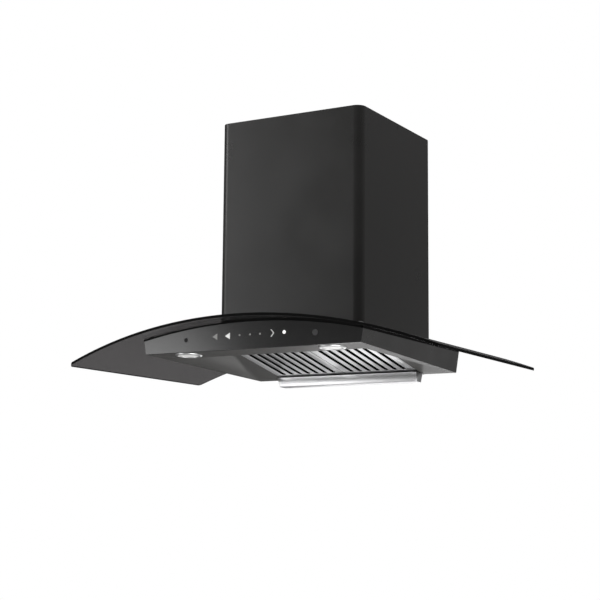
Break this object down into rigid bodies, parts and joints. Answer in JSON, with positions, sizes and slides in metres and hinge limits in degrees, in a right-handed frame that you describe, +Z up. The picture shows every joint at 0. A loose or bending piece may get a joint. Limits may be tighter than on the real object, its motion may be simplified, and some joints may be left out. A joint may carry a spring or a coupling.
{
  "type": "curved glass range hood",
  "caption": "Wall-hung range hood: arched smoked-glass canopy over a black body with touch panel, lamps, baffle filters and oil tray, under a tall boxed duct cover with blower and damper.",
  "frame": {"origin": "centre of the four wall holes, on the wall face of the back plate", "axes": "+X to the right of someone facing the hood, +Y into the wall, +Z up"},
  "size_m": [0.9, 0.588, 0.612],
  "materials": {
    "smoked_glass": "smoked tempered glass, polished edges",
    "seal_rubber": "matt black",
    "black_steel": "satin black powder coat",
    "touch_glass": "satin black touch panel",
    "sensor_lens": "dark translucent window",
    "circuit_board": "green board",
    "galvanised_steel": "zinc coated sheet",
    "polished_steel": "polished stainless",
    "chrome_trim": "satin chrome",
    "lamp_lens": "frosted diffuser",
    "cast_aluminium": "as cast",
    "spring_steel": "zinc plated",
    "black_plastic": "fine grain",
    "black_screws": "black",
    "white_plastic": "smooth",
    "brushed_stainless": "brushed along the vanes"
  },
  "bodies": {
    "hood": {"back_plate": "galvanised_steel", "blower_motor": "cast_aluminium", "blower_scroll": "galvanised_steel", "blower_struts": "galvanised_steel", "board_clips": "galvanised_steel", "bottom_panel": "black_steel", "cable_gland": "black_plastic", "canopy_shell": "black_steel", "chassis_side_left": "galvanised_steel", "chassis_side_right": "galvanised_steel", "chimney_cover": "black_steel", "control_board": "circuit_board", "control_fascia": "touch_glass", "cover_screws": "black_screws", "damper_pins": "spring_steel", "duct_collar": "black_plastic", "filter_seat_frame": "galvanised_steel", "glass_bushes": "seal_rubber", "glass_canopy": "smoked_glass", "glass_gasket": "seal_rubber", "glass_nuts": "spring_steel", "glass_screw_caps": "black_plastic", "glass_screws": "spring_steel", "inlet_neck": "galvanised_steel", "inlet_rings": "black_plastic", "lamp_bezels": "chrome_trim", "lamp_clips": "spring_steel", "lamp_lenses": "lamp_lens", "lamp_modules": "cast_aluminium", "motor_bracket": "galvanised_steel", "motor_mounts": "seal_rubber", "outlet_adapter": "galvanised_steel", "power_unit_board": "circuit_board", "power_unit_case": "black_plastic", "power_unit_lid": "black_plastic", "run_capacitor": "white_plastic", "sensor_window_left": "sensor_lens", "sensor_window_right": "sensor_lens", "top_plate": "galvanised_steel", "tray_rail": "galvanised_steel"},
    "filter_left": {"filter_left_frame": "brushed_stainless", "filter_left_lower_vanes": "brushed_stainless", "filter_left_upper_vanes": "brushed_stainless", "filter_left_hinge_pin": "spring_steel", "filter_left_knob": "brushed_stainless"},
    "filter_right": {"filter_right_frame": "brushed_stainless", "filter_right_lower_vanes": "brushed_stainless", "filter_right_upper_vanes": "brushed_stainless", "filter_right_hinge_pin": "spring_steel", "filter_right_knob": "brushed_stainless"},
    "tray": {"oil_tray": "polished_steel", "tray_rear_strip": "polished_steel"},
    "fan": {"fan_wheel": "galvanised_steel", "motor_shaft": "spring_steel", "wheel_nut": "spring_steel"},
    "flap_front": {"damper_flap_front": "black_plastic"},
    "flap_rear": {"damper_flap_rear": "black_plastic"}
  },
  "joints": [
    {"name": "filter_left_hinge", "type": "hinge", "parent": "hood", "child": "filter_left", "pos_m": [-0.0921, -0.096, -0.3742], "axis": [1, 0, 0], "range_deg": [0, 60]},
    {"name": "filter_right_hinge", "type": "hinge", "parent": "hood", "child": "filter_right", "pos_m": [0.0921, -0.096, -0.3742], "axis": [1, 0, 0], "range_deg": [0, 60]},
    {"name": "tray_slide", "type": "slide", "parent": "hood", "child": "tray", "axis": [1, 0, 0], "range_m": [0, 0.24]},
    {"name": "fan_spin", "type": "hinge", "parent": "hood", "child": "fan", "pos_m": [0, -0.2215, -0.0565], "axis": [1, 0, 0], "continuous": true},
    {"name": "flap_front_hinge", "type": "hinge", "parent": "hood", "child": "flap_front", "pos_m": [0, -0.124, 0.181], "axis": [-1, 0, 0], "range_deg": [0, 80]},
    {"name": "flap_rear_hinge", "type": "hinge", "parent": "hood", "child": "flap_rear", "pos_m": [0, -0.116, 0.181], "axis": [1, 0, 0], "range_deg": [0, 80]}
  ]
}
